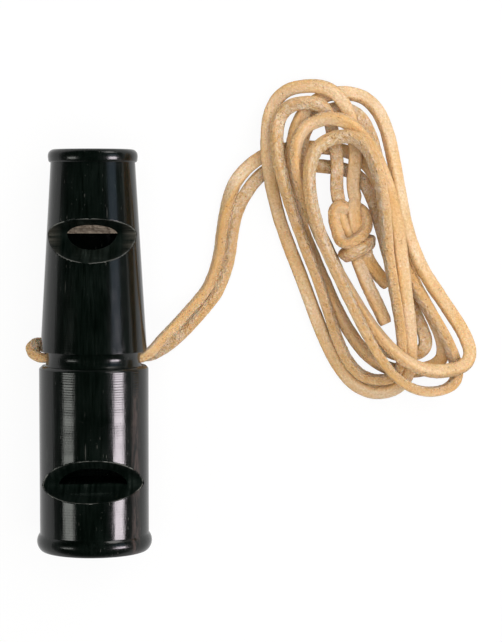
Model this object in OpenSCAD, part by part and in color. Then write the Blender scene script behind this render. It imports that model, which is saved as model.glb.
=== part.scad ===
// Two-tone horn dog whistle with a leather lace lanyard, lying on a table.
// X runs to the side of the hank, Y along the whistle to its high-tone mouth, Z up.
// The origin is under the middle of the whistle, on the table. Sizes are millimetres.

/* [Horn body] */
// Length from mouth to mouth
body_len = 80; // [76:0.5:95]
// Diameter of the low-tone barrel
barrel_d = 21.8; // [20.5:0.1:22.5]
// Diameter of the high-tone cone at the waist
cone_wide_d = 21.2; // [20:0.1:22]
// Diameter of the high-tone cone under its bead
cone_narrow_d = 16.6; // [15.5:0.1:17.2]
// Diameter over the low-tone bead
low_bead_d = 23; // [22.8:0.1:25]
// Length of the low-tone bead
low_bead_len = 3.8; // [3:0.1:5]
// Radius of the low-tone bead's crown
low_bead_round = 2.4; // [2.2:0.1:2.6]
// Diameter over the high-tone bead
high_bead_d = 17.8; // [17.4:0.1:18.5]
// Length of the high-tone bead
high_bead_len = 2.6; // [2:0.1:3]
// Radius of the high-tone bead's crown
high_bead_round = 1.6; // [1.5:0.1:1.9]

/* [Waist] */
// Distance of the waist groove's middle from the low-tone mouth
groove_at = 38.5; // [37.5:0.1:39.5]
// Width of the groove's floor
groove_w = 2.8; // [2.6:0.1:3.2]
// Height of the groove's middle above the axis: it is deepest below, where the lace passes
groove_lift = 0.45; // [0:0.05:0.6]
// Bevel on the barrel's lip beside the groove
lip_bevel = 0.6; // [0.3:0.1:1]

/* [Bores] */
// Diameter of the low-tone bore
low_bore_d = 16; // [15:0.1:16.6]
// Depth of the low-tone bore from its mouth
low_bore_depth = 33.3; // [31:0.1:34.5]
// Diameter of the high-tone bore
high_bore_d = 11.4; // [11:0.1:12]
// Depth of the high-tone bore from its mouth
high_bore_depth = 36.7; // [35:0.1:37.2]

/* [Windows] */
// Distance of the low window's deepest line from the low-tone mouth
low_window_at = 13.7; // [12:0.1:15]
// Height of the low window's deepest line above the axis
low_window_floor = 4.2; // [3.5:0.1:5]
// Distance of the high window's deepest line from the high-tone mouth
high_window_at = 16.6; // [15:0.1:19]
// Height of the high window's deepest line above the axis
high_window_floor = 2.8; // [2.2:0.1:3.4]
// Mean angle of the blade ramp to the axis
ramp_angle = 53; // [46:1:58]
// Mean lean of the steep wall away from upright
wall_lean = 22; // [16:1:28]
// Hollow of both faces: 1 is flat, less makes them shallow at the deepest line
window_hollow = 0.7; // [0.6:0.05:1]

/* [Blocks] */
// Height of each windway over its block
windway_h = 1.4; // [1:0.1:1.6]
// Distance of each block's end inside its mouth
block_recess = 0.2; // [0:0.1:0.8]
// Glue gap round each block
block_fit = 0.05; // [0.02:0.01:0.1]

/* [Pea] */
// Diameter of the cork pea
pea_d = 9; // [7:0.5:10]
// Running gap round the pea
pea_clear = 0.3; // [0.2:0.05:0.5]

/* [Lace] */
// Diameter of the leather lace
cord_d = 2.5; // [2.2:0.1:2.5]
// Gap round the lace in the waist hole
cord_clear = 0.45; // [0.3:0.05:0.6]
// Gap between the groove's floor and the lace under it
lie_gap = 0.1; // [0.05:0.05:0.3]
// Least gap kept where one strand of the hank lies over another
lay_gap = 0.75; // [0.6:0.05:0.9]
// Steepest climb of a strand, as rise over run
climb = 0.35; // [0.3:0.05:0.5]

/* [Knot] */
// Length of the knot
knot_len = 10; // [9:0.5:11]
// Diameter over the knot's wraps
knot_d = 7; // [6:0.1:7.2]
// Height of the knot's middle above the table
knot_z = 4; // [3.5:0.1:4.5]
// Spacing of the two strands where they enter the knot
knot_pitch = 3.4; // [3.3:0.1:3.6]

/* [Hidden] */
$fn = 96;

horn = [0.08, 0.08, 0.075];
cork = [0.76, 0.62, 0.42];
leather = [0.85, 0.68, 0.45];

// The whistle lies on its low-tone bead
axis_z = low_bead_d / 2;
low_end = -body_len / 2;
groove_y = low_end + groove_at;
groove_low = groove_at - groove_w / 2;
groove_high = groove_at + groove_w / 2;
barrel_len = groove_low - lip_bevel - low_bead_len / 2;
cone_len = body_len - groove_high - high_bead_len / 2;
groove_core_d = low_bead_d - 2 * (cord_d + lie_gap) + 2 * groove_lift;
cord_hole_d = cord_d + 2 * cord_clear;
lace_r = cord_d / 2;
// Room that every cut leaves outside the horn
over = 2;
// Steps down each hollow face of a window
face_steps = 8;

// Sides of a free tube and of a hank tube
tube_sides = 8;
hank_sides = 6;
// Steps in which a span of the hank is laid, and how many of them a ring skips
span_steps = 18;
ring_steps = 2;
// Steps along one strand that count as the same place
near_steps = 11;
// Rounds in which the strands come to rest
rest_rounds = 40;

knot_top = [51.3, 28.2];
knot_turn = -78;
knot_dir = [cos(knot_turn), sin(knot_turn)];
knot_side = [-knot_dir[1], knot_dir[0]];

// Place beside the knot's axis: side is 1 or -1, dist runs along the knot from its top
function at_knot(side, dist) = knot_top + knot_side * side * knot_pitch / 2 + knot_dir * dist;

// Each row of a hank strand: x, y, travel angle, reach in, reach out, layer.
// Strand a lies outside in the first turn, strand b inside.
hank_a_rows = [
    [28.2, 33.4, 58, 0, 8, 0],
    [48, 40.4, -6, 9, 9, 0],
    [62.5, 18.5, -72, 14, 11, 0],
    [67.5, -4.5, -164, 9, 14, 1],
    [43.4, 20.5, 114, 14.5, 16, 2],
    [48.5, 51.5, 8, 10, 10, 3],
    [60.6, 35, -80, 8.5, 6, 4.5],
    [65.8, 16.5, -64, 8, 8, 7],
    [71.8, -4.3, -170, 10.5, 11, 9],
    [49, 15.9, 120, 12, 13, 9],
    [45.5, 46, 14, 11, 10, 9],
    [61.4, 19.5, -84, 12, 14.5, 8],
    [57.8, -9.3, -176, 10, 9, 5],
    [40.6, 17.2, 113, 12, 16.5, 5],
    [41, 52.7, 8, 10, 8.5, 6],
    [52.4, 40, -86, 9, 4, 4],
    [each at_knot(1, -cord_d), knot_turn, 4, 0, 4]
];
hank_b_rows = [
    [30.8, 31.8, 58, 0, 8, -1],
    [48, 36.6, -6, 8, 8, -1],
    [59.8, 18, -74, 14, 9, -1],
    [65, -1.5, -168, 6.5, 9, 0],
    [47, 20, 116, 14.5, 16, 1],
    [48, 48.3, 10, 9, 7.5, 2],
    [57.6, 33.5, -80, 8, 6, 2.5],
    [62.8, 15.5, -64, 7, 9, 4],
    [69.4, -8.6, -172, 10.5, 11, 8],
    [47.5, 18, 116, 14.5, 12, 13],
    [48.5, 42.5, 12, 8.5, 8.5, 12],
    [58.6, 20.5, -84, 10, 12, 9],
    [58.5, -6.4, -172, 7, 9, 6],
    [43.4, 18.2, 112, 14.5, 17.5, 6],
    [41.3, 49.3, 6, 8.5, 6, 7],
    [48.4, 41, -78, 6, 5, 5],
    [each at_knot(-1, -cord_d), knot_turn, 4, 0, 5]
];

function heading(angle) = [cos(angle), sin(angle)];
function plan(row) = [row[0], row[1]];

// One point of a span between two rows, as x, y and layer
function span_point(from, to, t) =
    let (
        p0 = plan(from),
        p1 = p0 + from[4] * heading(from[2]),
        p3 = plan(to),
        p2 = p3 - to[3] * heading(to[2]),
        u = 1 - t,
        p = u * u * u * p0 + 3 * u * u * t * p1 + 3 * u * t * t * p2 + t * t * t * p3
    )
    [p[0], p[1], from[5] * u + to[5] * t];

function strand(rows) = [
    for (m = [0 : len(rows) - 2])
        for (i = [0 : span_steps - (m < len(rows) - 2 ? 1 : 0)])
            span_point(rows[m], rows[m + 1], i / span_steps)
];

strand_a = strand(hank_a_rows);
strand_b = strand(hank_b_rows);
count_a = len(strand_a);
laid = concat(strand_a, strand_b);
last = len(laid) - 1;
lay_d = cord_d + lay_gap;

// Only the two ends at the knot are held above the table
function seat(i) = i == count_a - 1 || i == last ? knot_z : lace_r;
function same_place(i, j) = (i < count_a) == (j < count_a) && abs(i - j) < near_steps;
function lies_on(i, j) = laid[i][2] > laid[j][2] || (laid[i][2] == laid[j][2] && i > j);

// For each point, the points that carry it and its rise over each
carried = [
    for (i = [0 : last]) [
        for (j = [0 : last])
            let (dx = laid[i][0] - laid[j][0])
            if (abs(dx) < lay_d)
                let (left = lay_d * lay_d - dx * dx - pow(laid[i][1] - laid[j][1], 2))
                if (left > 0 && lies_on(i, j) && !same_place(i, j))
                    [j, sqrt(left)]
    ]
];

// Fall that the climb limit allows from one point to the next, with no limit between strands
no_limit = 1000;
fall = [
    for (i = [0 : last])
        i == 0 || i == count_a ? no_limit : climb * norm(plan(laid[i]) - plan(laid[i - 1]))
];

// Strands rise until each rests on the table or on those under it
function settle(z, rounds) = rounds == 0 ? z : settle([
    for (i = [0 : last])
        max([
            seat(i),
            i > 0 ? z[i - 1] - fall[i] : 0,
            i < last ? z[i + 1] - fall[i + 1] : 0,
            for (c = carried[i]) z[c[0]] + c[1]
        ])
], rounds - 1);
resting = settle([for (i = [0 : last]) seat(i)], rest_rounds);

function is_end(i) = i == 0 || i == count_a - 1 || i == count_a || i == last;
eased = [
    for (i = [0 : last])
        is_end(i) ? resting[i] : (resting[i - 1] + 2 * resting[i] + resting[i + 1]) / 4
];

function ring_centres(first, count) = [
    for (k = [0 : ring_steps : count - 1])
        [laid[first + k][0], laid[first + k][1], eased[first + k]]
];
function unit(v) = v / norm(v);

// Adds a straight run of one lace diameter, level and square, at both ends
function with_ends(p, start_angle, end_angle) = concat(
    [p[0] - cord_d * [each heading(start_angle), 0]],
    p,
    [p[len(p) - 1] + cord_d * [each heading(end_angle), 0]]
);
hank_a_route = with_ends(ring_centres(0, count_a), hank_a_rows[0][2], knot_turn);
hank_b_route = with_ends(ring_centres(count_a, last + 1 - count_a), hank_b_rows[0][2], knot_turn);

// Least gap of the hank to itself, on its ring centres
near_rings = ceil(near_steps / ring_steps);
function least_gap(p, q, same) = min([
    for (i = [0 : len(p) - 1])
        for (j = [0 : len(q) - 1])
            if (!same || abs(i - j) > near_rings)
                norm(p[i] - q[j])
]) - cord_d;
echo("Least gap of hank strand a to itself, mm", least_gap(hank_a_route, hank_a_route, true));
echo("Least gap of hank strand b to itself, mm", least_gap(hank_b_route, hank_b_route, true));
echo("Least gap between the hank strands, mm", least_gap(hank_a_route, hank_b_route, false));

// Free stretches, chosen by hand. Those at the whistle start from its waist.
waist = [0, groove_y, axis_z];
under_waist = [0, groove_y, lace_r];
waist_loop_route = [
    waist + [9, 0, 0],
    waist + [3, 0, 0],
    waist + [-3, 0, 0],
    waist + [-9, 0, 0],
    waist + [-10.8, 0.1, -0.1],
    waist + [-12, 0.8, -1],
    waist + [-12.4, 1.9, -2.4],
    waist + [-11.6, 2.4, -4.5],
    waist + [-10, 2, -6.8],
    waist + [-8, 0.9, -9],
    waist + [-5.8, 0.1, -9.9],
    under_waist + [-3, 0, 0.1],
    under_waist,
    under_waist + [3, 0, 0.1],
    under_waist + [6, 0, 0.1],
    under_waist + [8.5, 0, 0.1]
];
lead_a_route = [
    waist + [9, 0, 0],
    waist + [10.8, 0, 0],
    waist + [12.2, 0.9, -0.3],
    waist + [13.2, 2.7, -1.5],
    waist + [14.6, 4.9, -3.5],
    [16.2, 5.6, 6],
    [18.6, 8, 4],
    [20.8, 10.2, 2.6],
    [22.8, 12.8, 1.6],
    [24.1, 16, 1.3],
    [25, 19.5, 1.3],
    [25.5, 23.5, 1.3],
    [25.9, 27, 1.3],
    hank_a_route[0] - lace_r * [each heading(hank_a_rows[0][2]), 0],
    hank_a_route[0]
];
lead_b_route = [
    under_waist + [8.5, 0, 0.1],
    under_waist + [11, 0, 0.1],
    [14.4, -0.1, 1.3],
    [17.4, 2.3, 1.3],
    [20.4, 5.3, 1.3],
    [23, 8.5, 1.3],
    [25.6, 12, 1.3],
    [27.3, 16.5, 1.3],
    [28.3, 21, 1.3],
    [28.7, 25, 1.3],
    hank_b_route[0] - lace_r * [each heading(hank_b_rows[0][2]), 0],
    hank_b_route[0]
];
tail_a_route = [
    [each at_knot(1, knot_len), knot_z],
    [each at_knot(1, knot_len + cord_d), knot_z],
    [57.8, 12.4, 3.6]
];
tail_b_route = [
    [each at_knot(-1, knot_len), knot_z],
    [each at_knot(-1, knot_len + cord_d), knot_z],
    [55.2, 11.6, 3.5],
    [57, 8.8, 3.1],
    [58.4, 6.4, 2.8]
];

function travel(p, i) = unit(p[min(i + 1, len(p) - 1)] - p[max(i - 1, 0)]);
function ring(centre, dir, sides) =
    let (side = unit(cross(dir, [0, 0, 1])), up = cross(side, dir))
    [
        for (k = [0 : sides - 1])
            let (turn = 360 * (k + 0.5) / sides)
            centre + lace_r * (cos(turn) * side + sin(turn) * up)
    ];

// One unbroken tube of the lace along its route
module lace(route, sides) {
    rings = len(route);
    skin = [
        for (i = [0 : rings - 2])
            for (k = [0 : sides - 1])
                let (a = i * sides + k, b = i * sides + (k + 1) % sides)
                each [[a, b, a + sides], [b, b + sides, a + sides]]
    ];
    tip = (rings - 1) * sides;
    caps = [for (k = [1 : sides - 2]) each [[0, k + 1, k], [tip, tip + k, tip + k + 1]]];
    color(leather)
        polyhedron([for (i = [0 : rings - 1]) each ring(route[i], travel(route, i), sides)],
            concat(skin, caps));
}

// Puts a shape that stands on Z onto the whistle's axis, at a distance from the low-tone mouth
module on_axis(dist) {
    translate([0, low_end + dist, axis_z])
        rotate([-90, 0, 0])
            children();
}

// A bead with a round crown, cut flat at its mouth
module bead(d, len, round) {
    intersection() {
        translate([0, 0, len / 2])
            rotate_extrude()
                translate([d / 2 - round, 0])
                    circle(r = round);
        cylinder(d = 2 * d, h = 2 * len);
    }
}

// One hollow face of a window in section, from its deepest line up past the horn
function window_face(floor, run, rise) = [
    for (i = [0 : face_steps])
        let (t = i / face_steps)
        [run * pow(t, window_hollow), floor + rise * t]
];

// Cut across the top of the horn: toward is 1 where the ramp rises to the high-tone end
module window(dist, floor, toward) {
    rise = barrel_d / 2 + over - floor;
    ramp = window_face(floor, toward * rise / tan(ramp_angle), rise);
    wall = window_face(floor, -toward * rise * tan(wall_lean), rise);
    translate([0, low_end + dist, axis_z])
        rotate([90, 0, 90])
            linear_extrude(barrel_d + 2 * over, center = true)
                polygon([each ramp, for (i = [face_steps : -1 : 1]) wall[i]]);
}
module low_window() {
    window(low_window_at, low_window_floor, 1);
}
module high_window() {
    window(body_len - high_window_at, high_window_floor, -1);
}

module horn_body() {
    color(horn)
        difference() {
            union() {
                on_axis(0)
                    bead(low_bead_d, low_bead_len, low_bead_round);
                on_axis(low_bead_len / 2)
                    cylinder(d = barrel_d, h = barrel_len);
                on_axis(groove_low - lip_bevel)
                    cylinder(d1 = barrel_d, d2 = barrel_d - 2 * lip_bevel, h = lip_bevel);
                translate([0, 0, groove_lift])
                    on_axis(groove_low)
                        cylinder(d = groove_core_d, h = groove_w);
                on_axis(groove_high)
                    cylinder(d1 = cone_wide_d, d2 = cone_narrow_d, h = cone_len);
                on_axis(body_len)
                    mirror([0, 0, 1])
                        bead(high_bead_d, high_bead_len, high_bead_round);
            }
            on_axis(-over)
                cylinder(d = low_bore_d, h = low_bore_depth + over);
            on_axis(body_len - high_bore_depth)
                cylinder(d = high_bore_d, h = high_bore_depth + over);
            low_window();
            high_window();
            translate(waist)
                rotate([0, 90, 0])
                    cylinder(d = cord_hole_d, h = barrel_d + 2 * over, center = true);
        }
}

// A round block with a flat for the windway
module block(bore_d, len) {
    flat = bore_d / 2 - windway_h;
    difference() {
        cylinder(d = bore_d - 2 * block_fit, h = len);
        translate([-bore_d / 2, -flat - bore_d, -over])
            cube([bore_d, bore_d, len + 2 * over]);
    }
}
module high_tone_block() {
    color(cork)
        difference() {
            on_axis(body_len - high_window_at)
                block(high_bore_d, high_window_at - block_recess);
            high_window();
        }
}
module low_tone_block() {
    color(horn)
        difference() {
            on_axis(block_recess)
                block(low_bore_d, low_window_at - block_recess);
            low_window();
        }
}

// The loose ball lies on the low chamber's floor, at its inner end
module cork_pea() {
    color(cork)
        translate([0, low_end + low_bore_depth - pea_d / 2 - pea_clear,
            axis_z - low_bore_d / 2 + pea_d / 2 + pea_clear])
            sphere(d = pea_d);
}

// A round core with a row of wraps
module lanyard_knot() {
    wraps = floor(knot_len / cord_d);
    color(leather)
        translate([knot_top[0], knot_top[1], knot_z])
            rotate([0, 90, knot_turn])
                union() {
                    cylinder(d = knot_d - cord_d / 2, h = knot_len);
                    for (k = [0 : wraps - 1])
                        translate([0, 0, (k + 0.5) * knot_len / wraps])
                            rotate_extrude()
                                translate([knot_d / 2 - lace_r, 0])
                                    circle(r = lace_r);
                }
}
module lanyard_waist_loop() {
    lace(waist_loop_route, tube_sides);
}
module lanyard_lead_a() {
    lace(lead_a_route, tube_sides);
}
module lanyard_lead_b() {
    lace(lead_b_route, tube_sides);
}
module lanyard_hank_a() {
    lace(hank_a_route, hank_sides);
}
module lanyard_hank_b() {
    lace(hank_b_route, hank_sides);
}
module lanyard_tail_a() {
    lace(tail_a_route, tube_sides);
}
module lanyard_tail_b() {
    lace(tail_b_route, tube_sides);
}

horn_body();
high_tone_block();
low_tone_block();
cork_pea();
lanyard_waist_loop();
lanyard_lead_a();
lanyard_lead_b();
lanyard_hank_a();
lanyard_hank_b();
lanyard_knot();
lanyard_tail_a();
lanyard_tail_b();
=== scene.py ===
"""A two-tone horn dog whistle and its leather lace lanyard, lying on a pale table.

Shapes are worked out in millimetres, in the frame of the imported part: X towards the hank of lace,
Y along the whistle to its high-tone mouth, Z up. Each finished piece is scaled to metres.
"""

import math

import bmesh
import bpy
from mathutils import Matrix, Vector, noise


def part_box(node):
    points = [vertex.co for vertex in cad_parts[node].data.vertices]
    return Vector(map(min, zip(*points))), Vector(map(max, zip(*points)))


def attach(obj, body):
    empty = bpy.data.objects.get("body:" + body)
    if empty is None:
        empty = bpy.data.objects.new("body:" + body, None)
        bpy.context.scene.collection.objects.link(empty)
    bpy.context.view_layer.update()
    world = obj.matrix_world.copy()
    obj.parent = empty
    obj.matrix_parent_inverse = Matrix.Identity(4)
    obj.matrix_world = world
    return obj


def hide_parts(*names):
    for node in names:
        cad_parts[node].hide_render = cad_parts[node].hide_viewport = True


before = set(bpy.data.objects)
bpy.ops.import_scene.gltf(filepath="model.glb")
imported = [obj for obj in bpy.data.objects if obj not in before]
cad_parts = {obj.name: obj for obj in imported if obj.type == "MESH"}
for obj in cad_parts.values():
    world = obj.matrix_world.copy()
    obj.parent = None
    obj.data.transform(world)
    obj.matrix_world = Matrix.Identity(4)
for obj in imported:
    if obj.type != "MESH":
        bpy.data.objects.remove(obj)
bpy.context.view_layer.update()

MM = 0.001

# Sizes of the horn body, in millimetres
body_low, body_high = (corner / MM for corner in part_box("horn_body"))
BODY_LEN = body_high.y - body_low.y
LOW_BEAD_D = body_high.z - body_low.z
AXIS_Z = LOW_BEAD_D / 2
LOW_END = body_low.y
BARREL_D = 21.8
CONE_WIDE_D = 21.2
CONE_NARROW_D = 16.6
LOW_BEAD_LEN = 3.8
LOW_BEAD_ROUND = 2.4
HIGH_BEAD_LEN = 2.6
# The bead at the high mouth: distance from the mouth, and radius
HIGH_BEAD = (
    (2.55, 8.56),
    (2.42, 8.73),
    (2.25, 8.80),
    (1.8, 8.86),
    (1.4, 8.9),
    (1.0, 8.87),
    (0.7, 8.78),
    (0.45, 8.62),
    (0.22, 8.38),
    (0.07, 8.12),
    (0, 7.8),
)
GROOVE_AT = 38.5
GROOVE_W = 2.8
GROOVE_LIFT = 0.45
GROOVE_CORE_D = 18.7
GROOVE_COVE = 0.35
SHOULDER_ROUND = 0.8
MOUTH_BEVEL = 0.3
LIP_BEVEL = 0.6
LOW_BORE_D = 16
LOW_BORE_DEPTH = 33.3
HIGH_BORE_D = 11.4
HIGH_BORE_DEPTH = 36.7
LOW_WINDOW_AT = 13.7
LOW_WINDOW_FLOOR = 4.2
HIGH_WINDOW_AT = 16.6
HIGH_WINDOW_FLOOR = 2.8
RAMP_ANGLE = math.radians(53)
WALL_LEAN = math.radians(22)
WINDOW_HOLLOW = 0.7
LOW_WINDOW_SKEW = math.radians(1.6)
WINDWAY_H = 1.4
BLOCK_RECESS = 0.2
BLOCK_FIT = 0.05
CORD_HOLE_D = 3.4
PEA_D = 9
GROOVE_Y = LOW_END + GROOVE_AT

# How the cut shapes are cleaned, softened and shaded, in millimetres and radians
CUT_OVER = 2
MERGE_GAP = 0.03
SLIVER = 0.01
BODY_EDGE_ROUND = 0.18
BLOCK_EDGE_ROUND = 0.08
RIM_ANGLE = math.radians(28)
RIM_CLEAR = 0.2
SMOOTH_ANGLE = math.radians(40)
CUT_SMOOTH_ANGLE = math.radians(50)

# Sizes of the lace, in millimetres
CORD_D = 2.5
LACE_SEAT = 1.5
LACE_W = 2.65
LACE_T = 1.95
LACE_SQUARE = 4
LACE_SIDES = 28
LACE_STEP = 0.45
CUT_END = 0.78
CUT_END_GROWTH = 0.25

# Unevenness of the lace and the pea: how strong it is, and its waves to the millimetre
BROAD_LUMPS = (0.06, 0.25)
SMALL_LUMPS = (0.04, 1.3)
FLESH_NAP = (0.10, 2.9)
GRAIN_NAP = (0.04, 2.9)
PEA_FLATS = (0.012, 0.9)
PEA_DENTS = (0.006, 3.1)

# Where along the leather's grain each stretch of lace starts, in millimetres
STRAND_A_GRAIN = 200
STRAND_B_GRAIN = 300
KNOT_GRAIN = 700
KNOT_GRAIN_STEP = 90
TAIL_A_GRAIN = 1000
TAIL_B_GRAIN = 1100

# Where the camera stood
CAMERA_AT = Vector((27.14, 30.79, 414.56)) * MM
CAMERA_AIM = Vector((31.45, 5.47, 5.0)) * MM
CAMERA_LENS = 113.48
CAMERA_SENSOR = 36
CAMERA_CLIP = 0.01


def make_camera():
    data = bpy.data.cameras.new("table_camera")
    data.lens = CAMERA_LENS
    data.sensor_width = CAMERA_SENSOR
    data.clip_start = CAMERA_CLIP
    camera = bpy.data.objects.new("table_camera", data)
    ahead = (CAMERA_AIM - CAMERA_AT).normalized()
    right = ahead.cross(Vector((0, 1, 0))).normalized()
    turn = Matrix((right, right.cross(ahead), -ahead)).transposed()
    camera.matrix_world = Matrix.Translation(CAMERA_AT) @ turn.to_4x4()
    bpy.context.scene.collection.objects.link(camera)
    bpy.context.scene.camera = camera


make_camera()


# Route of the lace

# How finely the lace is worked out, how close its strands lie and how steeply they climb
SPAN_STEPS = 18
NEAR_STEPS = 11
REST_ROUNDS = 40
CURVE_STEPS = 12
LAY_GAP = 0.75
LAY_D = CORD_D + LAY_GAP
CLIMB = 0.35
LACE_R = CORD_D / 2
NO_LIMIT = 1000


def heading(angle):
    return Vector((math.cos(math.radians(angle)), math.sin(math.radians(angle))))


KNOT_TOP = Vector((51.3, 28.2))
KNOT_TURN = -78
KNOT_Z = 4
KNOT_PITCH = 3.4
KNOT_REACH = 4
KNOT_DIR = heading(KNOT_TURN)
KNOT_SIDE = Vector((-KNOT_DIR.y, KNOT_DIR.x))


def at_knot(side, along, height=0.0):
    """Place at the knot: side to its right, along it from its top, height over its middle."""
    place = KNOT_TOP + KNOT_SIDE * side + KNOT_DIR * along
    return Vector((place.x, place.y, KNOT_Z + height))


def knot_route(places):
    return [at_knot(*place) for place in places]


def knot_row(side, layer):
    """The last row of a hank strand, where it runs into the knot."""
    place = at_knot(side * KNOT_PITCH / 2, -CORD_D)
    return (place.x, place.y, KNOT_TURN, KNOT_REACH, 0, layer)


# Each row of a hank strand: x, y, travel angle, reach in, reach out, layer
HANK_A_ROWS = [
    (28.2, 33.4, 58, 0, 8, 0),
    (48, 40.4, -6, 9, 9, 0),
    (62.5, 18.5, -72, 14, 11, 0),
    (67.5, -4.5, -164, 9, 14, 1),
    (43.4, 20.5, 114, 14.5, 16, 2),
    (48.5, 51.5, 8, 10, 10, 3),
    (60.6, 35, -80, 8.5, 6, 4.5),
    (65.8, 16.5, -64, 8, 8, 7),
    (71.8, -4.3, -170, 10.5, 11, 9),
    (49, 15.9, 120, 12, 13, 9),
    (45.5, 46, 14, 11, 10, 9),
    (61.4, 19.5, -84, 12, 14.5, 8),
    (57.8, -9.3, -176, 10, 9, 5),
    (40.6, 17.2, 113, 12, 16.5, 5),
    (41, 52.7, 8, 10, 8.5, 6),
    (52.4, 40, -86, 9, 4, 4),
    knot_row(1, 4),
]
HANK_B_ROWS = [
    (30.8, 31.8, 58, 0, 8, -1),
    (48, 36.6, -6, 8, 8, -1),
    (59.8, 18, -74, 14, 9, -1),
    (65, -1.5, -168, 6.5, 9, 0),
    (47, 20, 116, 14.5, 16, 1),
    (48, 48.3, 10, 9, 7.5, 2),
    (57.6, 33.5, -80, 8, 6, 2.5),
    (62.8, 15.5, -64, 7, 9, 4),
    (69.4, -8.6, -172, 10.5, 11, 8),
    (47.5, 18, 116, 14.5, 12, 13),
    (48.5, 42.5, 12, 8.5, 8.5, 12),
    (58.6, 20.5, -84, 10, 12, 9),
    (58.5, -6.4, -172, 7, 9, 6),
    (43.4, 18.2, 112, 14.5, 17.5, 6),
    (41.3, 49.3, 6, 8.5, 6, 7),
    (48.4, 41, -78, 6, 5, 5),
    knot_row(-1, 5),
]


def span_point(start, end, t):
    """One point of a span between two rows: its place in plan, and its layer."""
    p0 = Vector(start[:2])
    p1 = p0 + start[4] * heading(start[2])
    p3 = Vector(end[:2])
    p2 = p3 - end[3] * heading(end[2])
    u = 1 - t
    place = u ** 3 * p0 + 3 * u * u * t * p1 + 3 * u * t * t * p2 + t ** 3 * p3
    return place, start[5] * u + end[5] * t


def strand(rows):
    """All points of a strand through its rows, each with its layer."""
    points = [
        span_point(start, end, i / SPAN_STEPS)
        for start, end in zip(rows, rows[1:])
        for i in range(SPAN_STEPS)
    ]
    return points + [span_point(rows[-2], rows[-1], 1)]


def lay_hank():
    """Both strands of the hank, raised until each rests on the table or on those under it."""
    strand_a, strand_b = strand(HANK_A_ROWS), strand(HANK_B_ROWS)
    count_a = len(strand_a)
    plan, layer = zip(*(strand_a + strand_b))
    last = len(plan) - 1
    ends = {0, count_a - 1, count_a, last}
    seat = [KNOT_Z if i in (count_a - 1, last) else LACE_SEAT for i in range(last + 1)]
    fall = [
        NO_LIMIT if i in (0, count_a) else CLIMB * (plan[i] - plan[i - 1]).length
        for i in range(last + 1)
    ]
    carried = [[] for _ in plan]
    for i, place in enumerate(plan):
        for j, other in enumerate(plan):
            gap = (place - other).length
            same_place = (i < count_a) == (j < count_a) and abs(i - j) < NEAR_STEPS
            if gap < LAY_D and not same_place and (layer[i], i) > (layer[j], j):
                carried[i].append((j, math.sqrt(LAY_D ** 2 - gap ** 2)))
    z = seat
    for _ in range(REST_ROUNDS):
        z = [
            max(
                seat[i],
                z[i - 1] - fall[i] if i > 0 else 0,
                z[i + 1] - fall[i + 1] if i < last else 0,
                *(z[j] + rise for j, rise in carried[i]),
            )
            for i in range(last + 1)
        ]
    eased = [z[i] if i in ends else (z[i - 1] + 2 * z[i] + z[i + 1]) / 4 for i in range(last + 1)]
    laid = [Vector((p.x, p.y, h)) for p, h in zip(plan, eased)]
    return laid[:count_a], laid[count_a:]


# Free stretches of the lace, from the waist of the whistle
WAIST = Vector((0, GROOVE_Y, AXIS_Z))
UNDER_WAIST = Vector((0, GROOVE_Y, LACE_R))
LEAD_A_ROUTE = [
    *(WAIST + Vector(step) for step in [
        (6, 0, 0),
        (8.4, 0, 0),
        (9.9, 0.3, -0.1),
        (11.4, 1.25, -0.5),
        (12.8, 2.75, -1.6),
        (14.4, 4.5, -3.4),
    ]),
    *map(Vector, [
        (16.3, 4.9, 6.1),
        (18.6, 7.4, 4.1),
        (20.8, 9.8, 2.6),
        (22.8, 12.5, 1.6),
        (24.1, 15.8, LACE_SEAT),
        (25, 19.5, LACE_SEAT),
        (25.5, 23.4, LACE_SEAT),
        (26, 26.6, LACE_SEAT),
        (26.9, 30.2, LACE_SEAT),
    ]),
]
LEAD_B_ROUTE = [
    *(WAIST + Vector(step) for step in [
        (6, 0, 0),
        (3, 0, 0),
        (-3, 0, 0),
        (-9, 0, 0),
        (-10.8, 0.1, -0.1),
        (-12, 0.8, -1),
        (-12.4, 1.9, -2.4),
        (-11.6, 2.4, -4.5),
        (-10, 2, -6.8),
        (-8, 0.9, -9),
        (-5.8, 0.1, -9.9),
    ]),
    *(UNDER_WAIST + Vector(step) for step in [
        (-3, 0, 0.1),
        (0, 0, 0.1),
        (3, 0, 0.1),
        (6, 0, 0.1),
        (8.5, 0, 0.1),
        (11, 0, 0.1),
    ]),
    *map(Vector, [
        (14.1, 0.2, LACE_SEAT),
        (17, 2.6, LACE_SEAT),
        (19.9, 5.6, LACE_SEAT),
        (22.4, 8.5, LACE_SEAT),
        (24.6, 11.5, LACE_SEAT),
        (26.1, 15.2, LACE_SEAT),
        (27.1, 19.2, LACE_SEAT),
        (27.6, 23.1, LACE_SEAT),
        (28.3, 26.7, LACE_SEAT),
        (29.4, 29.5, LACE_SEAT),
    ]),
]


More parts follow.
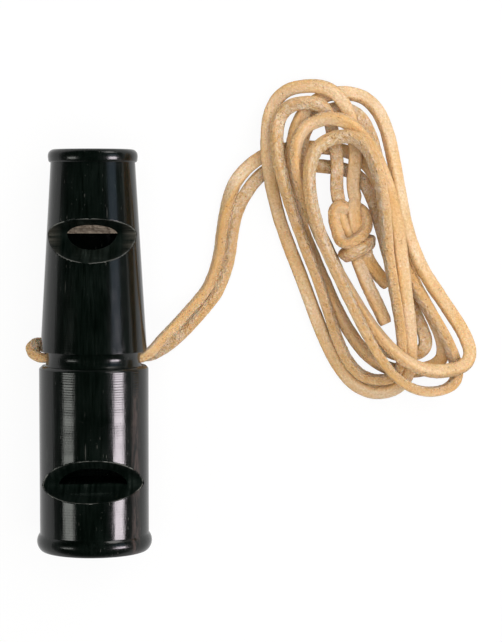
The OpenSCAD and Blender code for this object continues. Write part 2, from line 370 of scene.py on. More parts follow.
def smooth_route(points, step):
    """Points a steady step apart on a smooth curve through the given ones."""
    padded = [2 * points[0] - points[1], *points, 2 * points[-1] - points[-2]]
    fine = []
    for p0, p1, p2, p3 in zip(padded, padded[1:], padded[2:], padded[3:]):
        k0, k1, k2 = ((b - a).length ** 0.5 for a, b in ((p0, p1), (p1, p2), (p2, p3)))
        out = (p1 - p0) / k0 - (p2 - p0) / (k0 + k1) + (p2 - p1) / k1
        back = (p2 - p1) / k1 - (p3 - p1) / (k1 + k2) + (p3 - p2) / k2
        handle_1 = p1 + out * k1 / 3
        handle_2 = p2 - back * k1 / 3
        for i in range(CURVE_STEPS):
            t = i / CURVE_STEPS
            u = 1 - t
            fine.append(u ** 3 * p1 + 3 * u * u * t * handle_1 + 3 * u * t * t * handle_2 + t ** 3 * p2)
    fine.append(points[-1])
    runs = [(b - a).length for a, b in zip(fine, fine[1:])]
    count = max(2, round(sum(runs) / step))
    even, k, done = [], 0, 0.0
    for i in range(count + 1):
        want = sum(runs) * i / count
        while k < len(runs) - 1 and done + runs[k] < want:
            done += runs[k]
            k += 1
        even.append(fine[k].lerp(fine[k + 1], min(1.0, (want - done) / runs[k])))
    return even


def route_length(route):
    return sum((b - a).length for a, b in zip(route, route[1:]))


def straight_lace(bm, length, rings):
    """A straight stretch of square-sided lace along X, with its two cut ends closed."""
    made = bmesh.ops.create_circle(bm, segments=LACE_SIDES, radius=1)["verts"]
    for v in made:
        fuller = (abs(v.co.x) ** LACE_SQUARE + abs(v.co.y) ** LACE_SQUARE) ** (-1 / LACE_SQUARE)
        v.co = Vector((0, v.co.x * fuller * LACE_W / 2, v.co.y * fuller * LACE_T / 2))
    rim = list(dict.fromkeys(e for v in made for e in v.link_edges))
    drawn = bmesh.ops.extrude_edge_only(bm, edges=rim)["geom"]
    far = [g for g in drawn if isinstance(g, bmesh.types.BMVert)]
    bmesh.ops.translate(bm, verts=far, vec=(length, 0, 0))
    runs = [e for v in made for e in v.link_edges if e.other_vert(v).co.x > length / 2]
    far_rim = [g for g in drawn if isinstance(g, bmesh.types.BMEdge)]
    bmesh.ops.edgeloop_fill(bm, edges=rim)
    bmesh.ops.edgeloop_fill(bm, edges=far_rim)
    bmesh.ops.subdivide_edges(bm, edges=runs, cuts=rings - 1)


def ripple(lumps, place):
    height, waves = lumps
    return height * noise.noise(place * waves)


def lay_lace(bm, route, turn_at, grain_start):
    """Bends a straight stretch of lace along a route, and gives it the small lumps of cut leather."""
    straight = bm.verts.layers.float_vector.get("straight") or bm.verts.layers.float_vector.new("straight")
    rings = len(route) - 1
    length = route_length(route)
    straight_lace(bm, length, rings)
    travel = [(route[min(i + 1, rings)] - route[max(i - 1, 0)]).normalized() for i in range(rings + 1)]
    side = travel[0].cross(Vector((0, 0, 1))).normalized()
    sides = [side]
    for before, after in zip(travel, travel[1:]):
        side = before.rotation_difference(after) @ side
        side = (side - after * side.dot(after)).normalized()
        sides.append(side)
    for v in bm.verts:
        if v[straight].length_squared:
            continue
        i = min(rings, round(v.co.x / length * rings))
        along = length * i / rings
        flat = Vector((along + grain_start, v.co.y, v.co.z))
        v[straight] = flat * MM
        lump = 1 + ripple(BROAD_LUMPS, flat) + ripple(SMALL_LUMPS, flat)
        lump *= min(1.0, CUT_END + CUT_END_GROWTH * min(along, length - along))
        rough = ripple(FLESH_NAP if v.co.z < 0 else GRAIN_NAP, flat)
        across, up = v.co.y * lump, v.co.z * lump + rough
        turn = turn_at(along)
        level = sides[i]
        raised = level.cross(travel[i])
        reach = level * (across * math.cos(turn) - up * math.sin(turn))
        v.co = route[i] + reach + raised * (across * math.sin(turn) + up * math.cos(turn))


def finish_piece(name, bm, material):
    """Turns a bmesh in millimetres into a smooth-shaded piece in metres."""
    bmesh.ops.recalc_face_normals(bm, faces=bm.faces)
    bmesh.ops.scale(bm, verts=bm.verts, vec=(MM, MM, MM))
    mesh = bpy.data.meshes.new(name)
    bm.to_mesh(mesh)
    bm.free()
    mesh.shade_smooth()
    mesh.set_sharp_from_angle(angle=SMOOTH_ANGLE)
    mesh.materials.append(material)
    piece = bpy.data.objects.new(name, mesh)
    bpy.context.scene.collection.objects.link(piece)
    return piece


def stand_for(piece, body, slot, *nodes):
    """Rides a piece on a body and puts it in the place of the part's own nodes. Its slot is not used."""
    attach(piece, body)
    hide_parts(*nodes)


# Node helpers

def wire(tree, kind, inputs=None, **settings):
    """Adds a node, sets it, and fills its inputs with values or with other nodes' sockets."""
    made = tree.nodes.new(kind)
    for key, value in settings.items():
        setattr(made, key, value)
    for key, value in (inputs or {}).items():
        if isinstance(value, bpy.types.NodeSocket):
            tree.links.new(value, made.inputs[key])
        else:
            made.inputs[key].default_value = value
    return made


def ramp(tree, factor, stops):
    made = wire(tree, "ShaderNodeValToRGB", {"Fac": factor})
    elements = made.color_ramp.elements
    while len(elements) < len(stops):
        elements.new(0.5)
    for element, (place, colour) in zip(elements, stops):
        element.position = place
        element.color = (*colour, 1)
    return made.outputs["Color"]


def blend(tree, factor, first, second):
    made = wire(tree, "ShaderNodeMix", data_type="RGBA")
    for key, value in (("Factor_Float", factor), ("A_Color", first), ("B_Color", second)):
        socket = next(s for s in made.inputs if s.identifier == key)
        if isinstance(value, bpy.types.NodeSocket):
            tree.links.new(value, socket)
        else:
            socket.default_value = value if key == "Factor_Float" else (*value, 1)
    return next(s for s in made.outputs if s.identifier == "Result_Color")


def sums(tree, how, *values):
    made = wire(tree, "ShaderNodeMath", dict(enumerate(values)), operation=how)
    return made.outputs["Value"]


def product(tree, first, *others):
    for other in others:
        first = sums(tree, "MULTIPLY", first, other)
    return first


def fade(tree, value, start, end, low=0.0, high=1.0, clamp=True):
    """Goes from low to high while a value goes from start to end."""
    made = wire(tree, "ShaderNodeMapRange", {
        "Value": value,
        "From Min": start,
        "From Max": end,
        "To Min": low,
        "To Max": high,
    }, clamp=clamp)
    return made.outputs["Result"]


def relief(tree, height, strength, depth, under=None, invert=False):
    """Normals of a surface with small heights on it, over those of a coarser relief."""
    made = wire(tree, "ShaderNodeBump", {
        "Height": height,
        "Strength": strength,
        "Distance": depth,
    }, invert=invert)
    if under is not None:
        tree.links.new(under, made.inputs["Normal"])
    return made.outputs["Normal"]


def stretched(tree, vector, scale):
    made = wire(tree, "ShaderNodeMapping", {"Vector": vector, "Scale": scale})
    return made.outputs["Vector"]


def new_group(name, inputs, output):
    group = bpy.data.node_groups.new(name, "ShaderNodeTree")
    for label, kind, value in inputs:
        socket = group.interface.new_socket(label, in_out="INPUT", socket_type=kind)
        if value is not None:
            socket.default_value = value
    group.interface.new_socket(output, in_out="OUTPUT", socket_type="NodeSocketFloat")
    return group, group.nodes.new("NodeGroupInput"), group.nodes.new("NodeGroupOutput")


def make_sparse_flecks():
    """Small round flecks, with only some cells holding one."""
    group, given, out = new_group("sparse_flecks", [
        ("Vector", "NodeSocketVector", None),
        ("Scale", "NodeSocketFloat", 1000.0),
        ("Radius", "NodeSocketFloat", 0.2),
        ("Share", "NodeSocketFloat", 0.3),
    ], "Mask")
    cells = wire(group, "ShaderNodeTexVoronoi", {
        "Vector": given.outputs["Vector"],
        "Scale": given.outputs["Scale"],
    })
    pick = wire(group, "ShaderNodeSeparateColor", {"Color": cells.outputs["Color"]})
    holds = sums(group, "LESS_THAN", pick.outputs["Red"], given.outputs["Share"])
    inner = product(group, given.outputs["Radius"], 0.4)
    edge = fade(group, cells.outputs["Distance"], given.outputs["Radius"], inner)
    mask = product(group, edge, holds)
    group.links.new(mask, out.inputs["Mask"])
    return group


def make_soft_mottle():
    """Cloudy unevenness from 0 to 1, with its contrast set."""
    group, given, out = new_group("soft_mottle", [
        ("Vector", "NodeSocketVector", None),
        ("Scale", "NodeSocketFloat", 100.0),
        ("Detail", "NodeSocketFloat", 4.0),
        ("Contrast", "NodeSocketFloat", 2.0),
    ], "Mask")
    cloud = wire(group, "ShaderNodeTexNoise", {
        "Vector": given.outputs["Vector"],
        "Scale": given.outputs["Scale"],
        "Detail": given.outputs["Detail"],
    })
    centred = sums(group, "SUBTRACT", cloud.outputs["Fac"], 0.5)
    wider = sums(group, "MULTIPLY_ADD", centred, given.outputs["Contrast"], 0.5)
    clamp = wire(group, "ShaderNodeClamp", {"Value": wider})
    group.links.new(clamp.outputs["Result"], out.inputs["Mask"])
    return group


sparse_flecks = make_sparse_flecks()
soft_mottle = make_soft_mottle()


def flecks(tree, vector, scale, radius, share):
    """Places the flecks in a material."""
    made = wire(tree, "ShaderNodeGroup", node_tree=sparse_flecks)
    for key, value in (("Scale", scale), ("Radius", radius), ("Share", share)):
        made.inputs[key].default_value = value
    tree.links.new(vector, made.inputs["Vector"])
    return made.outputs["Mask"]


def mottle(tree, vector, scale, detail, contrast):
    """Places the cloudy unevenness in a material."""
    made = wire(tree, "ShaderNodeGroup", node_tree=soft_mottle)
    for key, value in (("Scale", scale), ("Detail", detail), ("Contrast", contrast)):
        made.inputs[key].default_value = value
    tree.links.new(vector, made.inputs["Vector"])
    return made.outputs["Mask"]


def new_material(name):
    material = bpy.data.materials.new(name)
    material.use_nodes = True
    tree = material.node_tree
    return material, tree, tree.nodes["Principled BSDF"]


# Materials

# Places, depths and finishes of the marks on the horn, the cork and the leather
RING_PITCH = 0.5 * MM
RING_DEPTH = 0.011 * MM
RING_DRIFT = 5
FIBRE_DEPTH = 0.006 * MM
BROWN_STREAK_X = 8.6 * MM
BROWN_STREAK_SIDES = (1.0 * MM, 0.2 * MM)
BROWN_STREAK_START = (-4 * MM, -11 * MM)
RINGS_AT_WAIST = (-1.2 * MM, 0.0)
RINGS_AT_LOW_END = (-34 * MM, -22 * MM)
HANDLED_ENDS = (35.5 * MM, 37.5 * MM)
POLISH = (0.10, 0.26)
FILE_FINISH = (0.32, 0.55)
RUN_OUT = (5.8 * MM, 8.5 * MM)
FLESH_SIDE = (0.2 * MM, -0.7 * MM)
# Band across the lace where the cut edges darken, partly in their own tone and partly as painted shade
CUT_SIDES = (0.85 * MM, 1.3 * MM)
SCRATCH_DEPTH = 0.03 * MM
STROKE_DEPTH = 0.06 * MM
# How far in from the rim the painted highlight reaches
RIM_HIGHLIGHT_REACH = 0.3 * MM
HORN_IOR = 1.42
CORK_DEPTH = 0.1 * MM
NAP_DEPTH = 0.22 * MM

# Colours of the horn, the cork, the leather and the table
HORN_BLACK = (0.0001, 0.0010, 0.0005)
HORN_CLOUD = (0.0008, 0.0018, 0.0012)
HORN_FIBRE = (0.009, 0.0145, 0.012)
HORN_SPECK = (0.075, 0.074, 0.066)
HORN_BROWN = (0.07, 0.046, 0.041)
FILED_TONES = [
    (0.0, (0.0008, 0.0026, 0.0017)),
    (0.6, (0.006, 0.010, 0.008)),
    (1.0, (0.028, 0.036, 0.031)),
]
FILED_GREY = (0.07, 0.066, 0.055)
# Grey of the painted highlight along the window rims
RIM_HIGHLIGHT_GREY = (0.17, 0.175, 0.16)
# Cork colours, darkened well below cork's own tan to paint the shade inside the window
SHADE_DARKENED_CORK_TONES = [
    (0.0, (0.085, 0.063, 0.046)),
    (0.5, (0.16, 0.127, 0.096)),
    (1.0, (0.25, 0.205, 0.16)),
]
CORK_PORE = (0.08, 0.05, 0.03)
GRAIN_TONES = [
    (0.0, (0.66, 0.40, 0.145)),
    (0.45, (0.75, 0.55, 0.32)),
    (1.0, (0.81, 0.68, 0.50)),
]
SUEDE_TONES = [
    (0.0, (0.57, 0.34, 0.12)),
    (0.5, (0.76, 0.59, 0.385)),
    (1.0, (0.84, 0.745, 0.61)),
]
# Darker tan of the cut edges: partly their own colour, partly painted shade for the strands' shadowed
# sides
EDGE_TONE_AND_SHADE_TAN = (0.58, 0.33, 0.10)
FIBRE_TAN = (0.56, 0.29, 0.09)
SPECKLE_TAN = (0.50, 0.27, 0.095)
NAP_TIP = (0.93, 0.84, 0.70)
PIT_BROWN = (0.30, 0.13, 0.035)
BLUSH_TAN = (0.82, 0.54, 0.40)
TABLE_WHITE = (0.86, 0.86, 0.86, 1)
TABLE_GLOW = 0.92
TABLE_GLOW_DIP = -0.2


def black_horn(name):
    """Polished black horn: fibres, pale specks, scratches, a brown streak and fine turning rings."""
    material, tree, skin = new_material(name)
    place = wire(tree, "ShaderNodeTexCoord").outputs["Object"]
    fibres = mottle(tree, stretched(tree, place, (1, 0.05, 1)), 2600, 5, 2.6)
    cloud = mottle(tree, place, 130, 3, 2.4)
    pale = flecks(tree, stretched(tree, place, (1, 0.25, 1)), 1700, 0.2, 0.35)
    dust = flecks(tree, place, 1900, 0.18, 0.2)
    scratches = flecks(tree, stretched(tree, place, (1, 0.07, 1)), 1000, 0.14, 0.3)
    deep = blend(tree, cloud, HORN_BLACK, HORN_CLOUD)
    haze = product(tree, fibres, sums(tree, "MULTIPLY_ADD", cloud, 0.4, 0.1))
    grained = blend(tree, haze, deep, HORN_FIBRE)
    marks = sums(tree, "MAXIMUM", product(tree, pale, 0.5), product(tree, scratches, 0.8))
    specks = sums(tree, "MAXIMUM", marks, product(tree, dust, 0.6))
    patches = mottle(tree, place, 70, 3, 3)
    marked = blend(tree, product(tree, specks, patches), grained, HORN_SPECK)
    spot = wire(tree, "ShaderNodeSeparateXYZ", {"Vector": place})
    along = spot.outputs["Y"]
    beside_streak = sums(tree, "ABSOLUTE", sums(tree, "SUBTRACT", spot.outputs["X"], BROWN_STREAK_X))
    streak_across = fade(tree, beside_streak, *BROWN_STREAK_SIDES)
    streak_along = fade(tree, along, *BROWN_STREAK_START)
    on_top = sums(tree, "GREATER_THAN", spot.outputs["Z"], AXIS_Z * MM)
    brown_fibres = mottle(tree, stretched(tree, place, (1, 0.2, 1)), 1400, 4, 4)
    brown = product(tree, streak_across, streak_along, on_top, brown_fibres, 0.7)
    tree.links.new(blend(tree, brown, marked, HORN_BROWN), skin.inputs["Base Color"])
    wander = mottle(tree, stretched(tree, place, (0.02, 1, 0.02)), 240, 2, 2)
    drift = product(tree, wander, RING_DRIFT)
    wave = sums(tree, "SINE", sums(tree, "MULTIPLY_ADD", along, math.tau / RING_PITCH, drift))
    uneven = mottle(tree, stretched(tree, place, (0.1, 1, 0.1)), 420, 4, 3.2)
    on_barrel = fade(tree, along, *RINGS_AT_WAIST, 1.0, 0.3)
    off_the_end = fade(tree, along, *RINGS_AT_LOW_END, 0.4, 1.0)
    kept = product(tree, on_barrel, off_the_end)
    worn_away = product(tree, sums(tree, "MULTIPLY_ADD", uneven, 0.7, 0.3), kept)
    rings = product(tree, sums(tree, "MULTIPLY_ADD", wave, 0.5, 0.5), worn_away)
    worn = mottle(tree, stretched(tree, place, (1, 0.3, 1)), 700, 4, 2.0)
    turned_marks = sums(tree, "MULTIPLY_ADD", rings, 0.5, product(tree, worn, 0.5))
    shine = fade(tree, turned_marks, 0.0, 1.0, *POLISH)
    handled = fade(tree, sums(tree, "ABSOLUTE", along), *HANDLED_ENDS, 0.0, 0.05)
    tree.links.new(sums(tree, "ADD", shine, handled), skin.inputs["Roughness"])
    ringed = relief(tree, rings, 1, RING_DEPTH)
    feathered = relief(tree, fibres, 1, FIBRE_DEPTH, ringed)
    scratched = relief(tree, marks, 0.25, SCRATCH_DEPTH, feathered, invert=True)
    tree.links.new(scratched, skin.inputs["Normal"])
    skin.inputs["IOR"].default_value = HORN_IOR
    return material


def rough_horn(name):
    """Horn as the file leaves it: dull strokes, greyer where the cut runs out, and a pale painted
    highlight in patches along its rim.
    """
    material, tree, skin = new_material(name)
    place = wire(tree, "ShaderNodeTexCoord").outputs["Object"]
    strokes = mottle(tree, stretched(tree, place, (1, 0.07, 0.07)), 1900, 4, 2.8)
    chatter = mottle(tree, stretched(tree, place, (0.1, 1, 1)), 1300, 3, 2.6)
    cloud = mottle(tree, place, 240, 3, 2.4)
    tone = ramp(tree, product(tree, strokes, cloud), FILED_TONES)
    spot = wire(tree, "ShaderNodeSeparateXYZ", {"Vector": place})
    aside = sums(tree, "ABSOLUTE", spot.outputs["X"])
    run_out = fade(tree, aside, *RUN_OUT)
    at_high_end = sums(tree, "GREATER_THAN", spot.outputs["Y"], 0.0)
    filed = blend(tree, product(tree, chatter, at_high_end, run_out), tone, FILED_GREY)
    across = wire(tree, "ShaderNodeMapping", {
        "Vector": place,
        "Location": (0, 0, -AXIS_Z * MM),
        "Scale": (1, 0, 1),
    })
    from_axis = wire(tree, "ShaderNodeVectorMath", {0: across.outputs["Vector"]}, operation="LENGTH")
    cone_start = (GROOVE_Y + GROOVE_W / 2) * MM
    cone_end = (LOW_END + BODY_LEN - HIGH_BEAD_LEN / 2) * MM
    wide, narrow = CONE_WIDE_D / 2 * MM, CONE_NARROW_D / 2 * MM
    cone_skin = fade(tree, spot.outputs["Y"], cone_start, cone_end, wide, narrow, clamp=False)
    horn_skin = sums(tree, "MINIMUM", cone_skin, BARREL_D / 2 * MM)
    depth = sums(tree, "SUBTRACT", horn_skin, from_axis.outputs["Value"])
    # A pale band painted along the window rims, in patches, stands for the highlight that light puts on
    # those edges.
    rim = fade(tree, depth, RIM_HIGHLIGHT_REACH, RIM_HIGHLIGHT_REACH / 6)
    painted_rim_highlight = product(tree, rim, mottle(tree, place, 330, 3, 5))
    tree.links.new(blend(tree, painted_rim_highlight, filed, RIM_HIGHLIGHT_GREY), skin.inputs["Base Color"])
    tree.links.new(fade(tree, strokes, 0.0, 1.0, *FILE_FINISH), skin.inputs["Roughness"])
    filing = sums(tree, "MULTIPLY_ADD", chatter, 0.5, strokes)
    tree.links.new(relief(tree, filing, 0.6, STROKE_DEPTH), skin.inputs["Normal"])
    skin.inputs["IOR"].default_value = HORN_IOR
    skin.inputs["Specular IOR Level"].default_value = 0.25
    return material


def shade_darkened_cork(name):
    """Cut cork: grains with dark gaps and pores, its tan darkened to paint the shade inside the window."""
    material, tree, skin = new_material(name)
    place = wire(tree, "ShaderNodeTexCoord").outputs["Object"]
    grains = wire(tree, "ShaderNodeTexVoronoi", {"Vector": place, "Scale": 1700})
    tone = wire(tree, "ShaderNodeSeparateColor", {"Color": grains.outputs["Color"]})
    # The tan here is darkened as painted shade
    tan = ramp(tree, tone.outputs["Green"], SHADE_DARKENED_CORK_TONES)
    pores = flecks(tree, place, 1400, 0.3, 0.3)
    shaded = blend(tree, product(tree, pores, 0.7), tan, CORK_PORE)
    tree.links.new(shaded, skin.inputs["Base Color"])
    skin.inputs["Roughness"].default_value = 0.85
    grained = sums(tree, "SUBTRACT", grains.outputs["Distance"], pores)
    tree.links.new(relief(tree, grained, 0.5, CORK_DEPTH), skin.inputs["Normal"])
    return material


def tan_lace(name):
    """Natural leather lace: a smooth grain side, a rough flesh side, cut edges darker partly in their own
    tone and partly as painted shade, and uneven tanning.
    """
    material, tree, skin = new_material(name)
    place = wire(tree, "ShaderNodeAttribute", attribute_name="straight").outputs["Vector"]
    section = wire(tree, "ShaderNodeSeparateXYZ", {"Vector": place})
    side_edge = sums(tree, "MULTIPLY_ADD", mottle(tree, place, 900, 3, 1.0), 1.0 * MM, -0.9 * MM)
    flesh = fade(tree, sums(tree, "ADD", section.outputs["Z"], side_edge), *FLESH_SIDE)
    tanning = mottle(tree, stretched(tree, place, (0.35, 1, 1)), 260, 3, 2.2)
    grain = ramp(tree, tanning, GRAIN_TONES)
    suede = ramp(tree, mottle(tree, place, 900, 4, 2.4), SUEDE_TONES)
    # The lace darkens towards its cut edges, partly in the edges' own tone and partly as painted shade
    # between strands
    edge_tone_and_shade = fade(tree, sums(tree, "ABSOLUTE", section.outputs["Y"]), *CUT_SIDES, 0.0, 0.55)
    sides = blend(tree, edge_tone_and_shade, blend(tree, flesh, grain, suede), EDGE_TONE_AND_SHADE_TAN)
    streaks = mottle(tree, stretched(tree, place, (0.25, 1, 1)), 1100, 3, 2.2)
    fibred = blend(tree, product(tree, streaks, 0.25), sides, FIBRE_TAN)
    fine = mottle(tree, place, 2200, 2, 3.6)
    speckled = blend(tree, product(tree, fine, 0.42), fibred, SPECKLE_TAN)
    nap_tips = flecks(tree, place, 1900, 0.34, 0.35)
    napped = blend(tree, product(tree, nap_tips, 0.22), speckled, NAP_TIP)
    pits = flecks(tree, place, 1500, 0.3, 0.22)
    # Pits show stronger on the flesh side and along the edges, where the painted shade also lies
    rough_and_shaded_sides = sums(tree, "MAXIMUM", flesh, product(tree, edge_tone_and_shade, 1.5))
    pit_depth = product(tree, pits, sums(tree, "MULTIPLY_ADD", rough_and_shaded_sides, 0.55, 0.2))
    pitted = blend(tree, pit_depth, napped, PIT_BROWN)
    blush = mottle(tree, stretched(tree, place, (0.5, 1, 1)), 420, 2, 3.0)
    warm = blend(tree, product(tree, blush, 0.13), pitted, BLUSH_TAN)
    tree.links.new(warm, skin.inputs["Base Color"])
    skin.inputs["Subsurface Weight"].default_value = 0.3
    skin.inputs["Subsurface Radius"].default_value = (1, 0.45, 0.2)
    skin.inputs["Subsurface Scale"].default_value = 0.7 * MM
    skin.inputs["Roughness"].default_value = 0.8
    skin.inputs["Specular IOR Level"].default_value = 0.25
    skin.inputs["Sheen Weight"].default_value = 0.1
    skin.inputs["Sheen Roughness"].default_value = 0.5
    nap = sums(tree, "ADD", product(tree, fine, flesh), product(tree, fine, 0.5))
    lined = sums(tree, "MULTIPLY_ADD", streaks, 0.6, nap)
    surface = sums(tree, "SUBTRACT", lined, pits)
    tree.links.new(relief(tree, surface, 0.8, NAP_DEPTH), skin.inputs["Normal"])
    return material


def pale_table(name):
    """Matt white table that stays pale in the picture and in reflections, and keeps shadows."""
    material, tree, skin = new_material(name)
    skin.inputs["Base Color"].default_value = TABLE_WHITE
    skin.inputs["Roughness"].default_value = 0.7
    skin.inputs["Specular IOR Level"].default_value = 0.1
    path = wire(tree, "ShaderNodeLightPath")
    seen = sums(tree, "MAXIMUM", path.outputs["Is Camera Ray"], path.outputs["Is Glossy Ray"])
    level = sums(tree, "MULTIPLY_ADD", path.outputs["Is Glossy Ray"], TABLE_GLOW_DIP, 1)
    glow = wire(tree, "ShaderNodeEmission", {"Color": (1, 1, 1, 1), "Strength": level})
    mixed = wire(tree, "ShaderNodeMixShader", {
        0: product(tree, seen, TABLE_GLOW),
        1: skin.outputs["BSDF"],
        2: glow.outputs["Emission"],
    })
    tree.links.new(mixed.outputs["Shader"], tree.nodes["Material Output"].inputs["Surface"])
    return material


# Pieces of the lace

lace_leather = tan_lace("tan_leather_lace")


def twist(steps, swing=0.0, wave=100.0):
    """How a lace twists along its length, in radians, through (millimetres along it, angle) steps."""
    def turn(along):
        sway = swing * math.sin(along * math.tau / wave)
        for (start, before), (end, after) in zip(steps, steps[1:]):
            if along < end:
                t = max(0.0, (along - start) / (end - start))
                return before + (after - before) * t * t * (3 - 2 * t) + sway
        return steps[-1][1] + sway
    return turn


TWIST_A = twist([
    (0, 1.5),
    (38, 1.45),
    (54, 0.2),
    (85, 0.3),
    (160, -0.6),
    (230, 0.9),
    (310, -0.4),
    (390, 1.0),
    (460, 0.2),
])
TWIST_B = twist([
    (0, 1.5),
    (24, 1.5),
    (38, 0),
    (50, 0),
    (60, 1.4),
    (78, 1.4),
    (96, 0.2),
    (120, 0.4),
    (200, 1.1),
    (270, -0.5),
    (350, 0.7),
    (430, -0.3),
    (500, 0.6),
])


def dress_lace_piece(name, bm, *nodes):
    piece = finish_piece(name, bm, lace_leather)
    stand_for(piece, "whistle", "lace", *nodes)
    return piece


def make_strand(name, route, turn, grain_start, *nodes):
    """One strand of the doubled lace, from the hole across the waist to the knot, and its even route."""
    even = smooth_route(route, LACE_STEP)
    bm = bmesh.new()
    lay_lace(bm, even, turn, grain_start)
    return dress_lace_piece(name, bm, *nodes), even


def make_knot():
    """The tied knot: both ends run through a loop that crosses the front, and one is wrapped round."""
    left_end = knot_route([
        (-1.6, -1.6, 0.1),
        (-1.0, -0.2, 0),
        (-1.3, 1.4, 0.2),
        (-1.1, 3.2, 0.5),
        (-0.7, 5, 0.1),
        (-0.6, 7, 0),
        (-0.5, 9.5, 0),
        (-0.3, 11, 0),
    ])
    right_end = knot_route([
        (1.6, -1.6, 0.3),
        (1, 0.2, 0.9),
        (0.7, 2, 1.2),
        (0.7, 3.8, 0.8),
        (1.2, 5.8, 0.1),
        (1.5, 8, 0),
        (1.7, 10.5, 0),
    ])
    loop = knot_route([
        (-0.8, 2.2, -1.2),
        (-0.6, 0.9, -0.1),
        (-1.0, -0.4, 0.9),
        (-1.9, -1, 1.3),
        (-2.9, -0.4, 1.3),
        (-3.3, 1.2, 1.2),
        (-3.3, 3.2, 1.2),
        (-3.2, 5, 1.5),
        (-2.7, 6.3, 2.1),
        (-1.5, 6.7, 2.6),
        (0.2, 6.2, 2.8),
        (1.7, 5.4, 2.4),
        (2.6, 4.2, 1.5),
        (2.8, 2.6, 0.7),
        (2.5, 1.2, 0),
        (1.5, 0.3, -0.8),
        (0.3, 0.2, -1.3),
    ])
    wrap = knot_route([
        (0, 7.4, -2.4),
        (2.2, 7.2, -1.6),
        (3, 7.4, 0.2),
        (2.3, 7.7, 1.8),
        (0.6, 8.3, 2.6),
        (-1.2, 8.8, 2.4),
        (-2.6, 9.2, 1.2),
        (-2.8, 9, -0.5),
        (-1.6, 8.5, -2),
        (0.2, 8.3, -2.4),
    ])
    bm = bmesh.new()
    for number, (route, turn) in enumerate((
        (left_end, twist([(0, 0.3)], swing=0.2, wave=40)),
        (right_end, twist([(0, -0.2)], swing=0.3, wave=40)),
        (loop, twist([(0, 0)], swing=0.2, wave=30)),
        (wrap, twist([(0, 0)], swing=0.2, wave=30)),
    )):
        lay_lace(bm, smooth_route(route, LACE_STEP), turn, KNOT_GRAIN + KNOT_GRAIN_STEP * number)
    return dress_lace_piece("lanyard_knot_tied", bm, "lanyard_knot")


TAIL_A_ROUTE = knot_route([
    (1.6, 9.4, -0.2),
    (1.8, 11, -0.2),
    (2.5, 13, -0.5),
    (3.6, 15.2, -1),
    (4.6, 17, -1.3),
])
TAIL_B_ROUTE = [
    at_knot(-0.4, 9.6, 0),
    at_knot(-0.2, 11.6, 0.2),
    Vector((55.2, 12.6, 4.6)),
    Vector((57.2, 8.4, 5.1)),
    Vector((58.8, 4.9, 5.6)),
]


def make_tail(name, route, node, grain_start):
    bm = bmesh.new()
    turn = twist([(0, 0.2)], swing=0.3, wave=40)
    lay_lace(bm, smooth_route(route, LACE_STEP), turn, grain_start)
    return dress_lace_piece(name, bm, node)


hank_a, hank_b = lay_hank()
strand_a, route_a = make_strand(
    "lanyard_strand_a",
    LEAD_A_ROUTE + hank_a + [at_knot(1.6, -1.2, 0.3)],
    TWIST_A,
    STRAND_A_GRAIN,
    "lanyard_lead_a",
    "lanyard_hank_a",
)
strand_b, route_b = make_strand(
    "lanyard_strand_b",
    LEAD_B_ROUTE + hank_b + [at_knot(-1.6, -1.2, 0.1)],
    TWIST_B,
    STRAND_B_GRAIN,
    "lanyard_waist_loop",
    "lanyard_lead_b",
    "lanyard_hank_b",
)
knot = make_knot()
tail_a = make_tail("lanyard_tail_end_a", TAIL_A_ROUTE, "lanyard_tail_a", TAIL_A_GRAIN)
tail_b = make_tail("lanyard_tail_end_b", TAIL_B_ROUTE, "lanyard_tail_b", TAIL_B_GRAIN)


# The horn body and what is inside it

def arc(centre, radius, start, end, count=20):
    """Points on a round stretch of an outline, with angles in degrees."""
    return [
        (centre[0] + radius * math.cos(math.radians(a)), centre[1] + radius * math.sin(math.radians(a)))
        for a in (start + (end - start) * i / count for i in range(count + 1))
    ]


def horn_outline():
    """Half of the horn's lengthwise section: distance from the low mouth, and radius."""
    low_bore, high_bore = LOW_BORE_D / 2, HIGH_BORE_D / 2
    barrel = BARREL_D / 2
    groove_low = GROOVE_AT - GROOVE_W / 2
    groove_high = GROOVE_AT + GROOVE_W / 2
    low_crown = (LOW_BEAD_LEN / 2, LOW_BEAD_D / 2 - LOW_BEAD_ROUND)
    low_start = 180 - math.degrees(math.acos(low_crown[0] / LOW_BEAD_ROUND))
    low_stop = math.degrees(math.asin((barrel - low_crown[1]) / LOW_BEAD_ROUND))
    slope = (CONE_NARROW_D - CONE_WIDE_D) / 2 / (BODY_LEN - groove_high - HIGH_BEAD_LEN / 2)
    cone_end = BODY_LEN - HIGH_BEAD_LEN
    cone_end_r = CONE_WIDE_D / 2 + slope * (cone_end - groove_high)
    return [
        (LOW_BORE_DEPTH, 0),
        (LOW_BORE_DEPTH, low_bore),
        (MOUTH_BEVEL, low_bore),
        (0, low_bore + MOUTH_BEVEL),
        *arc(low_crown, LOW_BEAD_ROUND, low_start, low_stop),
        (groove_low - LIP_BEVEL, barrel),
        (groove_low, barrel - LIP_BEVEL),
        (groove_high, CONE_WIDE_D / 2),
        (cone_end, cone_end_r),
        *[(BODY_LEN - back, radius) for back, radius in HIGH_BEAD],
        (BODY_LEN, high_bore + MOUTH_BEVEL),
        (BODY_LEN - MOUTH_BEVEL, high_bore),
        (BODY_LEN - HIGH_BORE_DEPTH, high_bore),
        (BODY_LEN - HIGH_BORE_DEPTH, 0),
    ]


